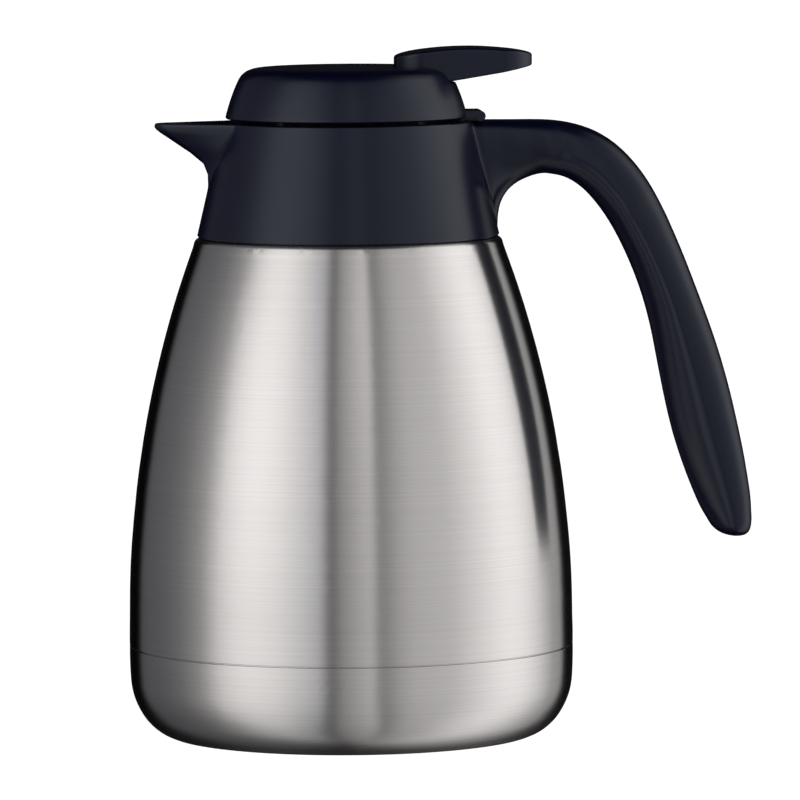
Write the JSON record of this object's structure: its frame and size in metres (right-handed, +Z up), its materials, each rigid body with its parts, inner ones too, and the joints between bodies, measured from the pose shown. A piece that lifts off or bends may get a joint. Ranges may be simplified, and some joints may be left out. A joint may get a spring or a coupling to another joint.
{
  "type": "thermal carafe",
  "caption": "Double-walled steel thermal carafe with a plastic collar, beaked spout, open loop handle, flip lid and press-to-pour lever.",
  "frame": {"origin": "centre of the foot ring, on the table, on the vessel's axis", "axes": "+Z up along the vessel's axis, -X towards the spout, +X towards the handle, Y across"},
  "size_m": [0.2046, 0.1454, 0.225],
  "materials": {
    "brushed_steel_body": "brushed round the body, clear",
    "dark_plastic": "satin, fine grain",
    "inner_steel": "electropolished",
    "silicone": "translucent white silicone",
    "inner_plastic": "moulded, slightly glossy",
    "fastener_steel": "bright stainless",
    "foil": "bright foil"
  },
  "bodies": {
    "body": {"outer_shell": "brushed_steel_body", "base_cup": "brushed_steel_body", "vacuum_plug": "inner_steel", "getter_ring": "inner_steel", "inner_liner": "inner_steel", "foil_wrap": "foil", "neck_seal": "silicone", "collar": "dark_plastic", "handle": "dark_plastic", "handle_screws": "fastener_steel"},
    "stopper": {"stopper_ring": "dark_plastic", "ring_gasket": "silicone", "hinge_pin": "fastener_steel"},
    "lid": {"lid_cover": "dark_plastic", "lid_base": "inner_plastic", "plug_floor": "inner_plastic", "plug_gasket": "silicone", "lid_screws": "fastener_steel", "stem_bush": "inner_plastic", "lever_pin": "fastener_steel"},
    "lever": {"lever": "dark_plastic"},
    "valve": {"valve_stem": "inner_plastic", "stem_nut": "inner_plastic", "valve_seal": "silicone", "valve_spring": "fastener_steel"}
  },
  "joints": [
    {"name": "stopper_lift", "type": "slide", "parent": "body", "child": "stopper", "axis": [0, 0, 1], "range_m": [0, 0.06]},
    {"name": "lid_hinge", "type": "hinge", "parent": "stopper", "child": "lid", "pos_m": [0.043, 0, 0.20275], "axis": [0, 1, 0], "range_deg": [0, 37]},
    {"name": "lever_press", "type": "hinge", "parent": "lid", "child": "lever", "pos_m": [0.028, 0, 0.2135], "axis": [0, 1, 0], "range_deg": [0, 6], "stiffness_Nm_per_rad": 0.2, "springref_deg": -6.88},
    {"name": "valve_lift", "type": "slide", "parent": "lid", "child": "valve", "axis": [0, 0, 1], "range_m": [0, 0.003], "deforming": ["valve_spring"]}
  ],
  "couplings": [
    {"joint": "valve_lift", "follows": "lever_press", "m_per_rad": 0.021}
  ]
}
